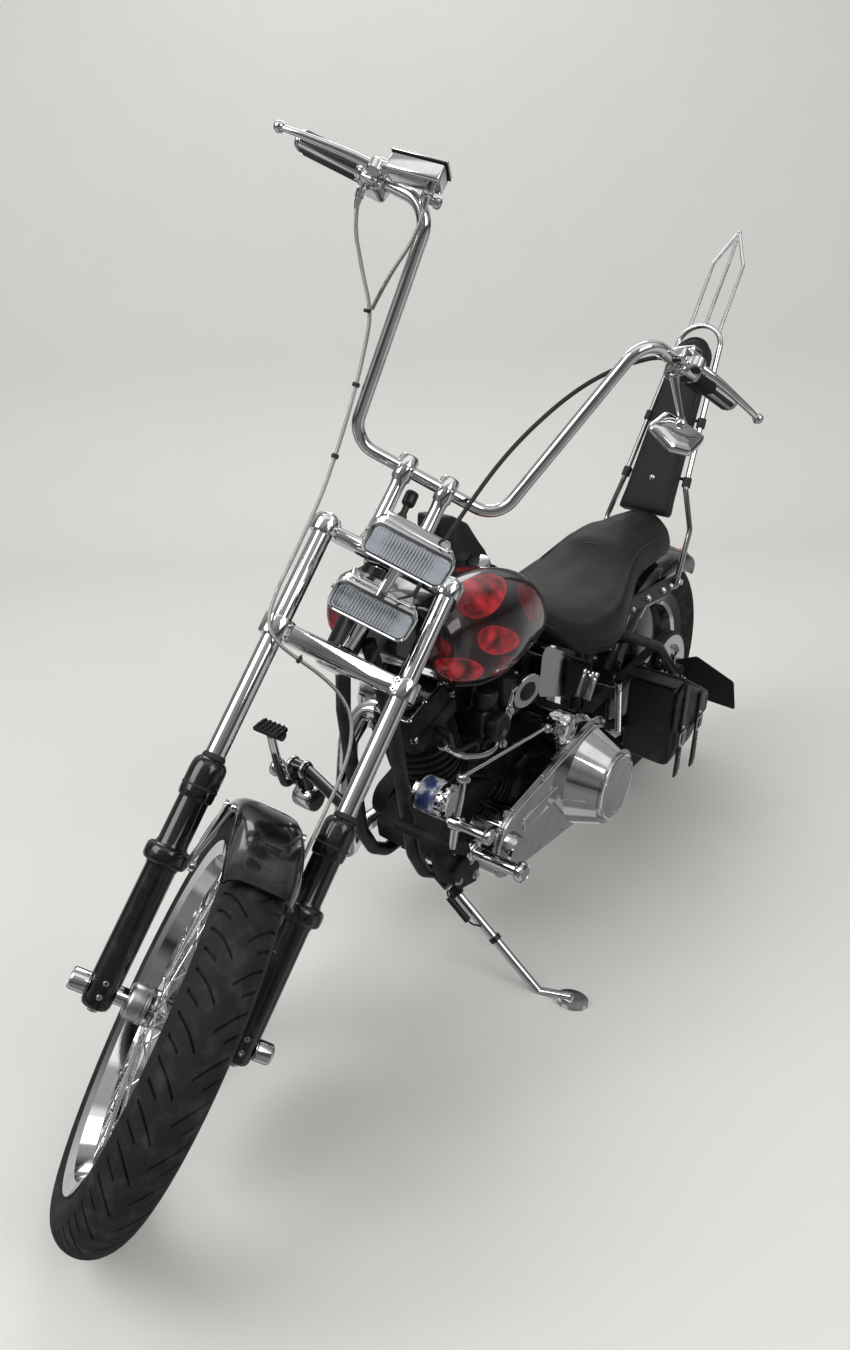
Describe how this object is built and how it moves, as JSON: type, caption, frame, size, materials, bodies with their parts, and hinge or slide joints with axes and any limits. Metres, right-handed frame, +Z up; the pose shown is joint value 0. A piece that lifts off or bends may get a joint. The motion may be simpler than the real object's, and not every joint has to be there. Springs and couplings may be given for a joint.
{
  "type": "chopper motorcycle",
  "caption": "Chopper motorcycle with raked fork, tall handlebar, finned vee engine, laced front wheel and sword-shaped back rest, parked on its side stand.",
  "frame": {"origin": "middle of the bounding box on the floor", "axes": "+X forward, +Y to the machine's left, +Z up; the machine leans to +Y on its side stand"},
  "size_m": [2.3308, 0.8494, 1.6082],
  "materials": {
    "chrome": "polished chrome",
    "black_paint": "gloss black",
    "frame_paint": "semi-gloss black",
    "tank_paint": "black with dark red flame mottling under clear coat",
    "black_cast": "black wrinkle engine paint",
    "tyre": "tyre rubber",
    "steel": "brushed brake steel",
    "leather": "black leather",
    "glass": "ribbed lamp glass",
    "red_glass": "red lamp lens",
    "plastic": "matt black",
    "rubber": "black rubber",
    "mirror": "mirror glass and chrome shell"
  },
  "bodies": {
    "chassis": {"air_cleaner": "chrome", "backrest_pad": "leather", "breather_pipe": "chrome", "crankcase": "black_cast", "derby_cover": "chrome", "drive_belt": "rubber", "exhaust_pipes": "chrome", "fender_struts": "frame_paint", "filler_cap": "chrome", "frame_backbone": "frame_paint", "front_cylinder": "black_cast", "fuel_tank": "tank_paint", "left_controls": "chrome", "left_cradle": "frame_paint", "oil_filter": "chrome", "oil_tank": "chrome", "plate_holder": "plastic", "primary_cover": "chrome", "rear_axle": "chrome", "rear_caliper": "black_paint", "rear_cylinder": "black_cast", "rear_fender": "black_paint", "right_controls": "chrome", "right_cradle": "frame_paint", "seat": "leather", "side_bag": "leather", "sissy_bar": "chrome", "springs": "chrome", "starter_motor": "chrome", "swingarm": "frame_paint", "tail_lamp": "red_glass", "tank_console": "chrome", "tank_dash": "leather"},
    "steering": {"bar_controls": "chrome", "brake_lines": "steel", "clutch_cable": "rubber", "fork_legs": "black_paint", "fork_tubes": "chrome", "front_axle": "chrome", "front_caliper": "black_paint", "front_fender": "black_paint", "grips": "rubber", "handlebar": "chrome", "headlamps": "chrome", "lamp_bracket": "chrome", "lamp_glasses": "glass", "lower_tree": "chrome", "mirror": "mirror", "risers": "chrome", "upper_tree": "chrome"},
    "front_wheel": {"front_tyre": "tyre", "front_rim": "chrome", "front_hub": "chrome", "front_disc": "steel"},
    "rear_wheel": {"rear_disc": "steel", "rear_pulley": "steel", "rear_rim": "black_paint", "rear_tyre": "tyre"},
    "stand": {"side_stand": "chrome"}
  },
  "joints": [
    {"name": "steering", "type": "hinge", "parent": "chassis", "child": "steering", "pos_m": [0.39193, -0.07029, 0.81842], "axis": [-0.6484, 0.0705, 0.7581], "range_deg": [-89, 0]},
    {"name": "front_wheel", "type": "hinge", "parent": "steering", "child": "front_wheel", "pos_m": [0.86583, -0.09216, 0.30237], "axis": [-0.5349, 0.6664, -0.5194], "continuous": true},
    {"name": "rear_wheel", "type": "hinge", "parent": "chassis", "child": "rear_wheel", "pos_m": [-0.82022, -0.11967, 0.31889], "axis": [-0.0018, 0.9956, -0.0941], "continuous": true},
    {"name": "side_stand", "type": "hinge", "parent": "chassis", "child": "stand", "pos_m": [0.20162, -0.01502, 0.19518], "axis": [-0.1342, 0.531, 0.8367], "range_deg": [0, 78]}
  ]
}
